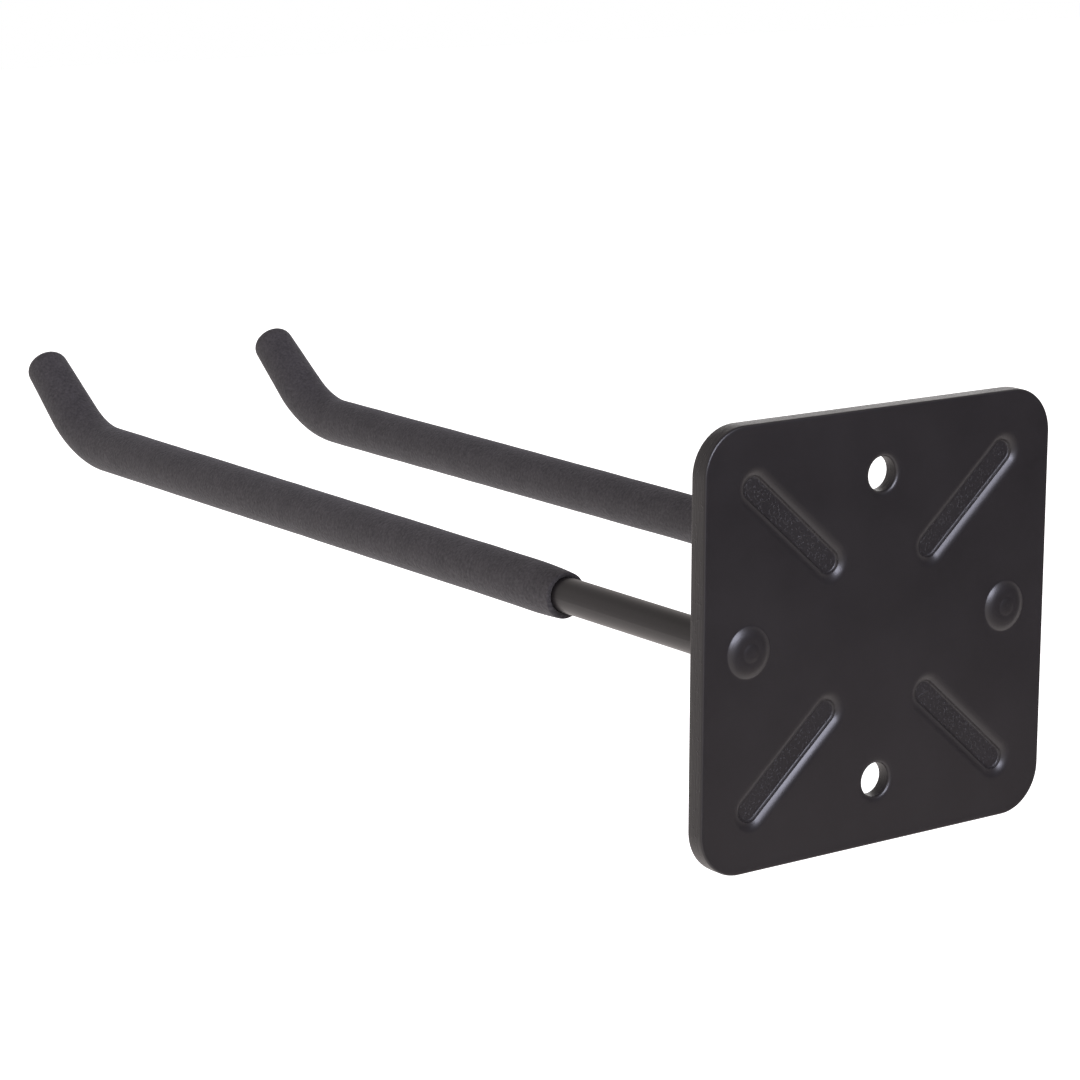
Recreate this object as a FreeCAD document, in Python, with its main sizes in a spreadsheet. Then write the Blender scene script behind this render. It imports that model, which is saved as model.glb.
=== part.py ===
import FreeCAD
import Part
import math
import os
import Sketcher

# Bicycle wall rack: a pressed steel wall plate carries two parallel round steel arms.
# Each arm runs straight out from the wall, turns up at its end and wears a foam sleeve with a closed end.
# Frame: origin at the centre of the plate's wall face, +Y into the wall, +Z up, arms along -Y.
# The left arm is on the +X side. Millimetres and degrees.

DOC = FreeCAD.newDocument("bicycle_wall_rack")

# ---------------------------------------------------------------------------------------------
# Driving dimensions
# ---------------------------------------------------------------------------------------------
DIMENSIONS = (
    ("plate_side", 120.0, "width and height of the square plate"),
    ("plate_thick", 6.0, "thickness of the plate"),
    ("plate_corner", 13.0, "radius of the plate's corners"),
    ("plate_edge", 0.6, "rolled edge round the wall face"),
    ("screw_hole", 9.4, "diameter of the two screw holes"),
    ("screw_pitch", 84.0, "distance between the two screw holes"),
    ("hole_edge", 0.4, "rolled edge of a screw hole on the wall face"),
    ("hole_sink", 1.8, "countersink of a screw hole on the arm side"),
    ("rib_inner_across", 17.6, "sideways place of a rib's inner end"),
    ("rib_inner_up", 20.4, "height of a rib's inner end"),
    ("rib_outer_across", 43.3, "sideways place of a rib's outer end"),
    ("rib_outer_up", 43.1, "height of a rib's outer end"),
    ("rib_width", 6.8, "width of a rib's channel in the wall face"),
    ("rib_depth", 1.5, "depth of a rib's channel"),
    ("rib_floor_round", 0.3, "rounding between a channel's wall and its floor"),
    ("rib_shoulder", 0.8, "rounding between a channel's wall and the wall face"),
    ("crest_width", 7.6, "width of a rib's crest on the arm side"),
    ("crest_height", 1.0, "height of a rib's crest"),
    ("crest_round", 0.8, "rounding of a crest's top edge"),
    ("boss_radius", 7.0, "radius of the domed boss behind an arm"),
    ("boss_height", 1.2, "height of the dome above the wall face"),
    ("boss_root", 1.0, "how far the boss reaches into the plate"),
    ("nub_radius", 2.4, "radius of the button in the middle of a boss"),
    ("nub_height", 0.4, "height of the button above its dome"),
    ("seat_depth", 2.0, "how deep a bar sits in the plate's arm side"),
    ("arm_pitch", 90.0, "distance between the two arms"),
    ("bar_diameter", 10.0, "diameter of the round steel bar"),
    ("straight_reach", 338.0, "from the wall face to the start of the upward bend"),
    ("bend_radius", 43.0, "radius of the bend along the middle of the bar"),
    ("bend_angle", 36.5, "angle of the turned-up end above level"),
    ("tip_length", 22.0, "straight length of bar after the bend"),
    ("bar_chamfer", 1.0, "chamfer at the bar's free end"),
    ("sleeve_diameter", 14.8, "outer diameter of the foam sleeve"),
    ("sleeve_start", 80.3, "from the wall face to the sleeve's open end"),
    ("sleeve_end_wall", 4.3, "foam past the bar's free end"),
    ("sleeve_end_round", 4.0, "rounding of the sleeve's closed end"),
    ("sleeve_mouth_round", 0.7, "rounding of the sleeve's open end"),
    ("weld_leg", 3.0, "leg of the weld bead on the plate and on the bar"),
)

SHEET = DOC.addObject("Spreadsheet::Sheet", "dims")
SIZE = {}
for row, (alias, value, meaning) in enumerate(DIMENSIONS, start=1):
    SHEET.set("A%d" % row, str(value))
    SHEET.setAlias("A%d" % row, alias)
    SHEET.set("B%d" % row, meaning)
    SIZE[alias] = value
DOC.recompute()

UP = FreeCAD.Vector(0, 0, 1)
ORIGIN_POINT = (-1, 1)
HORIZONTAL_AXIS = -1
VERTICAL_AXIS = -2
START, END, CENTRE = 1, 2, 3
SIDES = (("left", 1), ("right", -1))
TINY = 1e-4


# ---------------------------------------------------------------------------------------------
# Helpers
# ---------------------------------------------------------------------------------------------
def origin_plane(body, role):
    """The body's own origin plane with this role, such as XZ_Plane."""
    for feature in body.Origin.OriginFeatures:
        if feature.Role == role:
            return feature
    raise ValueError("no origin plane " + role)


def new_body(name):
    """A PartDesign body whose label names its file."""
    body = DOC.addObject("PartDesign::Body", name)
    body.Label = name
    return body


def new_sketch(body, name, role, offset=None):
    """A sketch on one of the body's origin planes, moved along its normal by a bound offset."""
    sketch = body.newObject("Sketcher::SketchObject", name)
    sketch.AttachmentSupport = [(origin_plane(body, role), "")]
    sketch.MapMode = "FlatFace"
    if offset:
        sketch.setExpression(".AttachmentOffset.Base.z", offset)
    return sketch


def point(across, up):
    """A point in a sketch."""
    return FreeCAD.Vector(across, up, 0)


def line(sketch, first, last):
    """A line between two sketch points."""
    return sketch.addGeometry(Part.LineSegment(point(*first), point(*last)), False)


def arc(sketch, centre, radius, start_angle, end_angle):
    """An arc that runs anticlockwise between two angles in degrees."""
    circle = Part.Circle(point(*centre), UP, radius)
    whole = Part.ArcOfCircle(circle, math.radians(start_angle), math.radians(end_angle))
    return sketch.addGeometry(whole, False)


def rule(sketch, kind, *where):
    """A geometric rule without a size, such as Tangent or Coincident."""
    return sketch.addConstraint(Sketcher.Constraint(kind, *where))


def size(sketch, kind, *where_and_value, formula):
    """A sketch dimension whose size comes from the sheet."""
    index = sketch.addConstraint(Sketcher.Constraint(kind, *where_and_value))
    sketch.setExpression("Constraints[%d]" % index, formula)
    return index


def circle_at(sketch, centre, diameter, diameter_formula, across_formula=None, up_formula=None):
    """A circle whose diameter and centre come from the sheet; a missing formula means zero."""
    index = sketch.addGeometry(Part.Circle(point(*centre), UP, diameter / 2), False)
    size(sketch, "Diameter", index, diameter, formula=diameter_formula)
    if across_formula:
        size(sketch, "DistanceX", *ORIGIN_POINT, index, CENTRE, centre[0], formula=across_formula)
    else:
        rule(sketch, "PointOnObject", index, CENTRE, VERTICAL_AXIS)
    if up_formula:
        size(sketch, "DistanceY", *ORIGIN_POINT, index, CENTRE, centre[1], formula=up_formula)
    else:
        rule(sketch, "PointOnObject", index, CENTRE, HORIZONTAL_AXIS)


def slot(sketch, width, width_formula):
    """A rib's outline: two half circles about the rib's inner and outer ends, joined by two lines."""
    inner = (SIZE["rib_inner_across"], SIZE["rib_inner_up"])
    outer = (SIZE["rib_outer_across"], SIZE["rib_outer_up"])
    slope = math.degrees(math.atan2(outer[1] - inner[1], outer[0] - inner[0]))
    aside = (-math.sin(math.radians(slope)) * width / 2, math.cos(math.radians(slope)) * width / 2)
    near = arc(sketch, inner, width / 2, slope + 90, slope + 270)
    far = arc(sketch, outer, width / 2, slope - 90, slope + 90)
    below = line(sketch, (inner[0] - aside[0], inner[1] - aside[1]), (outer[0] - aside[0], outer[1] - aside[1]))
    above = line(sketch, (outer[0] + aside[0], outer[1] + aside[1]), (inner[0] + aside[0], inner[1] + aside[1]))
    rule(sketch, "Tangent", near, END, below, START)
    rule(sketch, "Tangent", below, END, far, START)
    rule(sketch, "Tangent", far, END, above, START)
    rule(sketch, "Tangent", above, END, near, START)
    rule(sketch, "Equal", near, far)
    size(sketch, "Radius", near, width / 2, formula=width_formula + " / 2")
    size(sketch, "DistanceX", *ORIGIN_POINT, near, CENTRE, inner[0], formula="dims.rib_inner_across")
    size(sketch, "DistanceY", *ORIGIN_POINT, near, CENTRE, inner[1], formula="dims.rib_inner_up")
    size(sketch, "DistanceX", *ORIGIN_POINT, far, CENTRE, outer[0], formula="dims.rib_outer_across")
    size(sketch, "DistanceY", *ORIGIN_POINT, far, CENTRE, outer[1], formula="dims.rib_outer_up")


def pad(body, name, sketch, length_formula):
    """A pad along the sketch's normal."""
    feature = body.newObject("PartDesign::Pad", name)
    feature.Profile = sketch
    feature.setExpression("Length", length_formula)
    DOC.recompute()
    return feature


def pocket(body, name, sketch, depth_formula, along_normal):
    """A pocket of a bound depth; raises if it removes nothing."""
    before = body.Shape.Volume
    feature = body.newObject("PartDesign::Pocket", name)
    feature.Profile = sketch
    feature.setExpression("Length", depth_formula)
    feature.Reversed = along_normal
    DOC.recompute()
    if body.Shape.Volume > before - TINY:
        raise ValueError(name + " cuts nothing")
    return feature


def mirrored(body, name, feature, *roles):
    """Copies of a feature across one or two of the body's origin planes."""
    mirrors = []
    pattern = body.newObject("PartDesign::MultiTransform", name)
    for number, role in enumerate(roles, start=1):
        mirror = body.newObject("PartDesign::Mirrored", "%s_mirror_%d" % (name, number))
        mirror.MirrorPlane = (origin_plane(body, role), [""])
        mirrors.append(mirror)
    pattern.Originals = [feature]
    pattern.Transformations = mirrors
    body.Tip = pattern
    DOC.recompute()
    return pattern


def edge_names(shape, wanted):
    """Names of the shape's edges for which the test holds."""
    return ["Edge%d" % n for n, edge in enumerate(shape.Edges, start=1) if wanted(edge)]


def dress(body, kind, name, wanted, radius_formula):
    """A Fillet or Chamfer on every edge of the body's last feature for which the test holds."""
    base = body.Tip
    edges = edge_names(base.Shape, wanted)
    if not edges:
        raise ValueError(name + " finds no edge")
    feature = body.newObject("PartDesign::" + kind, name)
    feature.Base = (base, edges)
    feature.setExpression("Radius" if kind == "Fillet" else "Size", radius_formula)
    body.Tip = feature
    DOC.recompute()
    return feature


def lies_at(edge, depth):
    """True when the whole edge lies in the plane Y = depth."""
    box = edge.BoundBox
    return abs(box.YMin - depth) < TINY and abs(box.YMax - depth) < TINY


def follows_rib(edge):
    """True when the middle of the edge is no further from a rib's middle line than the channel's wall."""
    inner = point(SIZE["rib_inner_across"], SIZE["rib_inner_up"])
    outer = point(SIZE["rib_outer_across"], SIZE["rib_outer_up"])
    middle = edge.CenterOfMass
    spot = point(abs(middle.x), abs(middle.z))
    return spot.distanceToLineSegment(inner, outer).Length < SIZE["rib_width"] / 2 + TINY


# ---------------------------------------------------------------------------------------------
# Wall plate
# ---------------------------------------------------------------------------------------------
def build_plate():
    """Square plate with screw holes, four pressed ribs, two domed bosses and two seats for the bars."""
    body = new_body("wall_plate")
    half = SIZE["plate_side"] / 2

    outline = new_sketch(body, "plate_outline", "XZ_Plane")
    corners = [(-half, -half), (half, -half), (half, half), (-half, half)]
    sides = [line(outline, corners[n], corners[(n + 1) % 4]) for n in range(4)]
    for n in range(4):
        rule(outline, "Coincident", sides[n], END, sides[(n + 1) % 4], START)
        rule(outline, ("Horizontal", "Vertical")[n % 2], sides[n])
    rule(outline, "Equal", sides[0], sides[1])
    rule(outline, "Symmetric", sides[0], START, sides[2], START, *ORIGIN_POINT)
    size(outline, "DistanceX", sides[0], START, sides[0], END, 2 * half, formula="dims.plate_side")
    pad(body, "plate_pad", outline, "dims.plate_thick")
    dress(body, "Fillet", "plate_corners",
          lambda edge: edge.BoundBox.YLength > SIZE["plate_thick"] - TINY, "dims.plate_corner")
    dress(body, "Fillet", "plate_wall_edge", lambda edge: lies_at(edge, 0), "dims.plate_edge")

    holes = new_sketch(body, "screw_holes", "XZ_Plane")
    circle_at(holes, (0, SIZE["screw_pitch"] / 2), SIZE["screw_hole"], "dims.screw_hole",
              up_formula="dims.screw_pitch / 2")
    drilled = pocket(body, "screw_hole", holes, "dims.plate_thick", True)
    mirrored(body, "screw_hole_pair", drilled, "XY_Plane")
    dress(body, "Fillet", "screw_hole_edges",
          lambda edge: lies_at(edge, 0) and abs(edge.BoundBox.XLength - SIZE["screw_hole"]) < TINY,
          "dims.hole_edge")
    dress(body, "Chamfer", "screw_hole_sinks",
          lambda edge: lies_at(edge, -SIZE["plate_thick"]) and isinstance(edge.Curve, Part.Circle)
          and abs(edge.Curve.Radius - SIZE["screw_hole"] / 2) < TINY,
          "dims.hole_sink")

    channel = new_sketch(body, "rib_channel_outline", "XZ_Plane")
    slot(channel, SIZE["rib_width"], "dims.rib_width")
    pressed = pocket(body, "rib_channel", channel, "dims.rib_depth", True)
    mirrored(body, "rib_channels", pressed, "YZ_Plane", "XY_Plane")
    dress(body, "Fillet", "rib_floors", lambda edge: lies_at(edge, -SIZE["rib_depth"]), "dims.rib_floor_round")
    dress(body, "Fillet", "rib_shoulders", lambda edge: lies_at(edge, 0) and follows_rib(edge),
          "dims.rib_shoulder")

    crest = new_sketch(body, "rib_crest_outline", "XZ_Plane", "dims.plate_thick")
    slot(crest, SIZE["crest_width"], "dims.crest_width")
    raised = pad(body, "rib_crest", crest, "dims.crest_height")
    mirrored(body, "rib_crests", raised, "YZ_Plane", "XY_Plane")
    crest_top = -SIZE["plate_thick"] - SIZE["crest_height"]
    dress(body, "Fillet", "rib_crest_edges", lambda edge: lies_at(edge, crest_top), "dims.crest_round")

    boss = boss_profile(body)
    dome = body.newObject("PartDesign::Revolution", "boss")
    dome.Profile = boss
    dome.ReferenceAxis = (boss, ["Axis0"])
    dome.Angle = 360
    DOC.recompute()
    mirrored(body, "bosses", dome, "YZ_Plane")

    seat = new_sketch(body, "bar_seat_outline", "XZ_Plane", "dims.plate_thick")
    circle_at(seat, (SIZE["arm_pitch"] / 2, 0), SIZE["bar_diameter"], "dims.bar_diameter",
              across_formula="dims.arm_pitch / 2")
    sunk = pocket(body, "bar_seat", seat, "dims.seat_depth", False)
    mirrored(body, "bar_seats", sunk, "YZ_Plane")
    return body


def boss_profile(body):
    """Half section of a domed boss with a button on top, beside an axis that points into the wall."""
    sketch = new_sketch(body, "boss_section", "XY_Plane")
    middle = SIZE["arm_pitch"] / 2
    reach = SIZE["boss_radius"]
    height = SIZE["boss_height"]
    nub = SIZE["nub_radius"]
    root = -SIZE["boss_root"]
    top = height + SIZE["nub_height"]
    dome_radius = (reach ** 2 + height ** 2) / (2 * height)
    dome_centre = height - dome_radius
    nub_foot = dome_centre + math.sqrt(dome_radius ** 2 - nub ** 2)
    nub_rise = top - nub_foot
    nub_ball = (nub ** 2 + nub_rise ** 2) / (2 * nub_rise)
    nub_centre = top - nub_ball

    floor = line(sketch, (middle, root), (middle + reach, root))
    wall = line(sketch, (middle + reach, root), (middle + reach, 0))
    dome = arc(sketch, (middle, dome_centre), dome_radius,
               math.degrees(math.atan2(-dome_centre, reach)),
               math.degrees(math.atan2(nub_foot - dome_centre, nub)))
    button = arc(sketch, (middle, nub_centre), nub_ball,
                 math.degrees(math.atan2(nub_foot - nub_centre, nub)), 90)
    back = line(sketch, (middle, top), (middle, root))
    axis = sketch.addGeometry(Part.LineSegment(point(middle, root), point(middle, 2 * top)), True)

    loop = (floor, wall, dome, button, back)
    for number, piece in enumerate(loop):
        rule(sketch, "Coincident", piece, END, loop[(number + 1) % len(loop)], START)
    rule(sketch, "Horizontal", floor)
    rule(sketch, "Vertical", wall)
    rule(sketch, "Vertical", back)
    rule(sketch, "Coincident", axis, START, floor, START)
    rule(sketch, "Vertical", axis)
    rule(sketch, "PointOnObject", wall, END, HORIZONTAL_AXIS)
    rule(sketch, "PointOnObject", dome, CENTRE, axis)
    rule(sketch, "PointOnObject", button, CENTRE, axis)
    size(sketch, "DistanceX", *ORIGIN_POINT, floor, START, middle, formula="dims.arm_pitch / 2")
    size(sketch, "DistanceX", floor, START, floor, END, reach, formula="dims.boss_radius")
    size(sketch, "DistanceY", floor, START, *ORIGIN_POINT, -root, formula="dims.boss_root")
    size(sketch, "DistanceY", *ORIGIN_POINT, back, START, top, formula="dims.boss_height + dims.nub_height")
    size(sketch, "DistanceX", button, END, button, START, nub, formula="dims.nub_radius")
    size(sketch, "Radius", dome, dome_radius,
         formula="(dims.boss_radius ^ 2 + dims.boss_height ^ 2) / (2 * dims.boss_height)")
    size(sketch, "DistanceY", *ORIGIN_POINT, axis, END, 2 * top,
         formula="2 * (dims.boss_height + dims.nub_height)")
    return sketch


# ---------------------------------------------------------------------------------------------
# Arms, sleeves and welds: built at X = 0 and placed on their side
# ---------------------------------------------------------------------------------------------
def centre_line(body, name, start, start_formula, tip, tip_formula):
    """The middle line of an arm in the YZ plane: level run, upward bend, straight tip."""
    sketch = new_sketch(body, name, "YZ_Plane")
    reach = SIZE["straight_reach"]
    bend = SIZE["bend_radius"]
    angle = math.radians(SIZE["bend_angle"])
    turned = (-reach - bend * math.sin(angle), bend - bend * math.cos(angle))
    finish = (turned[0] - tip * math.cos(angle), turned[1] + tip * math.sin(angle))
    level = line(sketch, (-start, 0), (-reach, 0))
    curve = arc(sketch, (-reach, bend), bend, 270 - SIZE["bend_angle"], 270)
    rise = line(sketch, turned, finish)
    rule(sketch, "Tangent", level, END, curve, END)
    rule(sketch, "Tangent", curve, START, rise, START)
    rule(sketch, "PointOnObject", level, START, HORIZONTAL_AXIS)
    rule(sketch, "Horizontal", level)
    size(sketch, "DistanceX", level, START, *ORIGIN_POINT, start, formula=start_formula)
    size(sketch, "DistanceX", level, END, *ORIGIN_POINT, reach, formula="dims.straight_reach")
    size(sketch, "Radius", curve, bend, formula="dims.bend_radius")
    size(sketch, "Angle", rise, math.pi - angle, formula="(180 - dims.bend_angle) * 1 deg")
    size(sketch, "Distance", rise, tip, formula=tip_formula)
    return sketch


def pipe(body, kind, name, path, start_formula, diameter, diameter_formula):
    """A round section swept along a centre line, added to or taken from the body."""
    section = new_sketch(body, name + "_section", "XZ_Plane", start_formula)
    circle_at(section, (0, 0), diameter, diameter_formula)
    feature = body.newObject("PartDesign::" + kind, name)
    feature.Profile = section
    feature.Spine = (path, ["Edge1", "Edge2", "Edge3"])
    body.Tip = feature
    DOC.recompute()
    return feature


def place(body, side):
    """Put a body on the left (+1) or right (-1) arm's line."""
    body.setExpression(".Placement.Base.x", "%d * dims.arm_pitch / 2" % side)
    DOC.recompute()


def far_edge(body, diameter):
    """A test for the round edge of this diameter that is highest on the turned-up end."""
    rims = [edge for edge in body.Tip.Shape.Edges
            if isinstance(edge.Curve, Part.Circle) and abs(edge.Curve.Radius - diameter / 2) < TINY]
    best = max(rims, key=lambda edge: edge.CenterOfMass.z)
    return lambda edge: edge.isSame(best)


def build_arm(name, side):
    """A round bar that sits in the plate's seat, runs out level and turns up at its end."""
    body = new_body(name)
    start = SIZE["plate_thick"] - SIZE["seat_depth"]
    start_formula = "dims.plate_thick - dims.seat_depth"
    path = centre_line(body, name + "_line", start, start_formula, SIZE["tip_length"], "dims.tip_length")
    pipe(body, "AdditivePipe", name + "_bar", path, start_formula, SIZE["bar_diameter"], "dims.bar_diameter")
    dress(body, "Chamfer", name + "_end", far_edge(body, SIZE["bar_diameter"]), "dims.bar_chamfer")
    place(body, side)
    return body


def build_sleeve(name, side):
    """A foam sleeve round the bar, open towards the wall and closed with a rounded end past the bar."""
    body = new_body(name)
    start = SIZE["sleeve_start"]
    whole = SIZE["tip_length"] + SIZE["sleeve_end_wall"]
    outer = centre_line(body, name + "_line", start, "dims.sleeve_start", whole,
                        "dims.tip_length + dims.sleeve_end_wall")
    pipe(body, "AdditivePipe", name + "_skin", outer, "dims.sleeve_start",
         SIZE["sleeve_diameter"], "dims.sleeve_diameter")
    dress(body, "Fillet", name + "_closed_end", far_edge(body, SIZE["sleeve_diameter"]), "dims.sleeve_end_round")
    mouth = -SIZE["sleeve_start"]
    dress(body, "Fillet", name + "_mouth", lambda edge: lies_at(edge, mouth), "dims.sleeve_mouth_round")
    inner = centre_line(body, name + "_bore_line", start, "dims.sleeve_start", SIZE["tip_length"],
                        "dims.tip_length")
    before = body.Shape.Volume
    pipe(body, "SubtractivePipe", name + "_bore", inner, "dims.sleeve_start",
         SIZE["bar_diameter"], "dims.bar_diameter")
    if body.Shape.Volume > before - TINY:
        raise ValueError(name + " has no bore")
    place(body, side)
    return body


def build_weld(name, side):
    """A ring of weld in the corner between the plate's arm side and the bar."""
    body = new_body(name)
    sketch = new_sketch(body, name + "_section", "XY_Plane")
    inner = SIZE["bar_diameter"] / 2
    leg = SIZE["weld_leg"]
    face = -SIZE["plate_thick"]
    foot = line(sketch, (inner, face), (inner + leg, face))
    bead = line(sketch, (inner + leg, face), (inner, face - leg))
    back = line(sketch, (inner, face - leg), (inner, face))
    loop = (foot, bead, back)
    for number, piece in enumerate(loop):
        rule(sketch, "Coincident", piece, END, loop[(number + 1) % len(loop)], START)
    rule(sketch, "Horizontal", foot)
    rule(sketch, "Vertical", back)
    rule(sketch, "Equal", foot, back)
    size(sketch, "DistanceX", *ORIGIN_POINT, foot, START, inner, formula="dims.bar_diameter / 2")
    size(sketch, "DistanceY", foot, START, *ORIGIN_POINT, -face, formula="dims.plate_thick")
    size(sketch, "DistanceX", foot, START, foot, END, leg, formula="dims.weld_leg")
    ring = body.newObject("PartDesign::Revolution", name + "_ring")
    ring.Profile = sketch
    ring.ReferenceAxis = (sketch, ["V_Axis"])
    ring.Angle = 360
    DOC.recompute()
    place(body, side)
    return body


# ---------------------------------------------------------------------------------------------
# Build, check and write
# ---------------------------------------------------------------------------------------------
def main():
    """Build every sub-part, stop on any failed object or shape, and write one STEP file for each."""
    bodies = [build_plate()]
    for word, side in SIDES:
        bodies.append(build_arm(word + "_arm", side))
        bodies.append(build_sleeve(word + "_foam_sleeve", side))
        bodies.append(build_weld(word + "_weld", side))
    DOC.recompute()
    for item in DOC.Objects:
        if "Invalid" in item.State or "Error" in item.State:
            raise ValueError("%s failed: %s" % (item.Name, item.State))
    for body in bodies:
        if body.Shape.isNull() or not body.Shape.isValid() or len(body.Shape.Solids) != 1:
            raise ValueError(body.Label + " has no sound solid")
    os.makedirs("parts", exist_ok=True)
    for body in bodies:
        body.Shape.exportStep("parts/%s.step" % body.Label)
        box = body.Shape.BoundBox
        print("%-18s volume %10.1f  X %7.2f %7.2f  Y %8.2f %7.2f  Z %7.2f %7.2f" % (
            body.Label, body.Shape.Volume, box.XMin, box.XMax, box.YMin, box.YMax, box.ZMin, box.ZMax))


main()
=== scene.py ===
"""Looks of a bicycle wall rack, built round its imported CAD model: black-coated steel and black foam."""
import logging
import math
from dataclasses import dataclass, field
from enum import Enum
from typing import Callable, Optional, Sequence, Union

import bmesh
import bpy
from mathutils import Matrix, Vector, noise
from mathutils.geometry import delaunay_2d_cdt


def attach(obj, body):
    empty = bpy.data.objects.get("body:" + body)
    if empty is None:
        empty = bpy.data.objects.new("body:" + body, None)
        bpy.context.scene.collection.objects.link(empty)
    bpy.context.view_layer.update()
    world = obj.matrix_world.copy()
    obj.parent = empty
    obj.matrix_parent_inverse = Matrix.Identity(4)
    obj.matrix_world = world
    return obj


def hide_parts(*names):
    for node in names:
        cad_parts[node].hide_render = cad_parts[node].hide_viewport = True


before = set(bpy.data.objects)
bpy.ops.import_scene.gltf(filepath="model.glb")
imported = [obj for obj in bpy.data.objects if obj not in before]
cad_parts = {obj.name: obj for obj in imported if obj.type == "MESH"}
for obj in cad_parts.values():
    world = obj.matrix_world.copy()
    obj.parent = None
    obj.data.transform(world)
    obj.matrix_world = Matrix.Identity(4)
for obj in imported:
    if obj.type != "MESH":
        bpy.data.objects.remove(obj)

LOG = logging.getLogger("wall_rack")
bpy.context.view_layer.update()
BODY = "root"
MM = 0.001
ARM_ACROSS = 45 * MM
MERGE_REACH = 1e-7
SHARP_TURN = math.radians(50)
WELD_NOISE_ROW = 3.0

Socket = bpy.types.NodeSocket
Input = Union[float, tuple, Socket]


# ---------------------------------------------------------------------------------------------
# Shared helpers
# ---------------------------------------------------------------------------------------------
def linear(hex_colour: str) -> tuple[float, float, float, float]:
    """Turn an sRGB hex colour into the linear colour that a shader takes.

    Args:
        hex_colour: six hex digits, such as "1b1a1c".

    Returns:
        Red, green, blue and alpha, from 0 to 1.
    """
    parts = [int(hex_colour[n:n + 2], 16) / 255 for n in (0, 2, 4)]
    red, green, blue = [p / 12.92 if p <= 0.04045 else ((p + 0.055) / 1.055) ** 2.4 for p in parts]
    return red, green, blue, 1.0


def add_node(tree: bpy.types.NodeTree, kind: str, inputs: Optional[dict[Union[str, int], Input]] = None,
             **settings: object) -> bpy.types.Node:
    """Add a shader node with its settings, socket values and links.

    Args:
        tree: the material's node tree.
        kind: the node's type after "ShaderNode", such as "TexNoise".
        inputs: socket name or number to a value, or to the output socket that feeds it.
        settings: the node's own properties.

    Returns:
        The new node.
    """
    node = tree.nodes.new("ShaderNode" + kind)
    for name, value in settings.items():
        setattr(node, name, value)
    for key, value in (inputs or {}).items():
        if isinstance(value, Socket):
            tree.links.new(value, node.inputs[key])
        else:
            node.inputs[key].default_value = value
    return node


def per_metre(size_mm: float) -> float:
    """The texture scale that makes a pattern's features this many millimetres wide."""
    return 1 / (size_mm * MM)


def new_material(name: str) -> tuple[bpy.types.Material, bpy.types.NodeTree, Socket]:
    """Start a material.

    Args:
        name: the material's name.

    Returns:
        The material, its emptied node tree and the surface socket of its output.
    """
    material = bpy.data.materials.new(name)
    material.use_nodes = True
    tree = material.node_tree
    tree.nodes.clear()
    output = add_node(tree, "OutputMaterial")
    return material, tree, output.inputs["Surface"]


def object_place(tree: bpy.types.NodeTree) -> Socket:
    """The surface point in the object's own metres, which stays put when the camera moves."""
    return add_node(tree, "TexCoord").outputs["Object"]


def mesh_piece(name: str, points: Sequence[Vector], faces: Sequence[Sequence[int]],
               material: bpy.types.Material) -> bpy.types.Object:
    """Make a smooth mesh object with one material.

    Args:
        name: the piece's name.
        points: its vertices, in metres.
        faces: vertex numbers of each face.
        material: its finish.

    Returns:
        The new object, linked to the scene.
    """
    mesh = bpy.data.meshes.new(name)
    mesh.from_pydata([tuple(p) for p in points], [], [tuple(f) for f in faces])
    mesh.polygons.foreach_set("use_smooth", [True] * len(mesh.polygons))
    mesh.update()
    mesh.materials.append(material)
    piece = bpy.data.objects.new(name, mesh)
    bpy.context.scene.collection.objects.link(piece)
    return piece


def close_and_turn(piece: bpy.types.Object) -> None:
    """Merge doubled vertices, turn every face outward and report any open edges.

    Args:
        piece: the mesh object to mend.
    """
    sheet = bmesh.new()
    sheet.from_mesh(piece.data)
    bmesh.ops.remove_doubles(sheet, verts=sheet.verts, dist=MERGE_REACH)
    bmesh.ops.recalc_face_normals(sheet, faces=sheet.faces)
    open_edges = sum(1 for edge in sheet.edges if not edge.is_manifold)
    LOG.info("%s has %d open edges", piece.name, open_edges)
    sheet.to_mesh(piece.data)
    sheet.free()


def ring_faces(rings: int, around: int, joined: bool = False) -> list[tuple[int, int, int, int]]:
    """Faces between neighbouring rings of a tube.

    Args:
        rings: how many rings the tube has.
        around: how many points each ring has.
        joined: whether the last ring joins the first, as in a hoop.

    Returns:
        One quad for each gap along and around.
    """
    quads = []
    for ring in range(rings if joined else rings - 1):
        here = ring * around
        beyond = (ring + 1) % rings * around
        for step in range(around):
            beside = (step + 1) % around
            quads.append((here + step, here + beside, beyond + beside, beyond + step))
    return quads


def quarter_turns(steps: int) -> list[float]:
    """Angles that divide a quarter turn into equal steps, without the first one at zero."""
    return [math.pi / 2 * n / steps for n in range(1, steps + 1)]


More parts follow.
